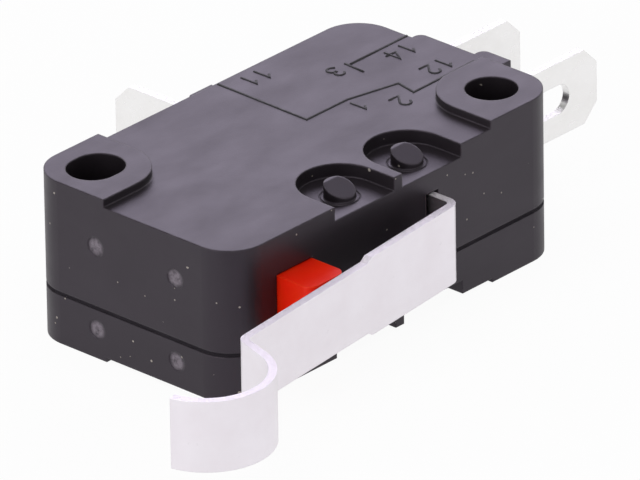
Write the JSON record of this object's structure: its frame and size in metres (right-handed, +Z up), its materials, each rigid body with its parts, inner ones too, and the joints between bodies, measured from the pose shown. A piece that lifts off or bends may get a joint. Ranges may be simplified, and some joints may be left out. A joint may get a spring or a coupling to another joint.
{
  "type": "lever micro switch",
  "caption": "Miniature snap-action switch in a two-shell housing with a push button worked by a hinged metal lever with a bent roller form, and flat tabs.",
  "frame": {"origin": "axis of the round mounting hole, in the plane of the resting pads under the cover", "axes": "+X along the body towards the paired terminals, +Y away from the button and lever, +Z up through the thickness"},
  "size_m": [0.0489, 0.0325, 0.0103],
  "materials": {
    "case_plastic": "satin",
    "cover_plastic": "satin",
    "button_plastic": "semi-gloss",
    "lever_steel": "bright satin",
    "tab_metal": "silver plated, satin",
    "contact_metal": "bright",
    "blade_metal": "satin"
  },
  "bodies": {
    "housing": {"case": "case_plastic", "cover": "cover_plastic", "com_terminal": "tab_metal", "nc_terminal": "tab_metal", "no_terminal": "tab_metal", "nc_contact": "contact_metal", "no_contact": "contact_metal", "blade_rivet": "blade_metal"},
    "lever": {"lever": "lever_steel"},
    "button": {"plunger": "button_plastic"},
    "contact": {"moving_contact": "contact_metal", "snap_blade": "blade_metal"}
  },
  "joints": [
    {"name": "lever_hinge", "type": "hinge", "parent": "housing", "child": "lever", "pos_m": [-0.00775, -0.0015, 0.00515], "axis": [0, 0, -1], "range_deg": [0, 9], "stiffness_Nm_per_rad": 0.06, "springref_deg": -6.88},
    {"name": "button_slide", "type": "slide", "parent": "housing", "child": "button", "axis": [0, 1, 0], "range_m": [0, 0.0019]},
    {"name": "contact_slide", "type": "slide", "parent": "housing", "child": "contact", "axis": [0, 1, 0], "range_m": [0, 0.001], "deforming": ["snap_blade"]}
  ],
  "couplings": [
    {"joint": "button_slide", "follows": "lever_hinge", "m_per_rad": 0.0119},
    {"joint": "contact_slide", "follows": "lever_hinge", "m_per_rad": 0.00636}
  ]
}
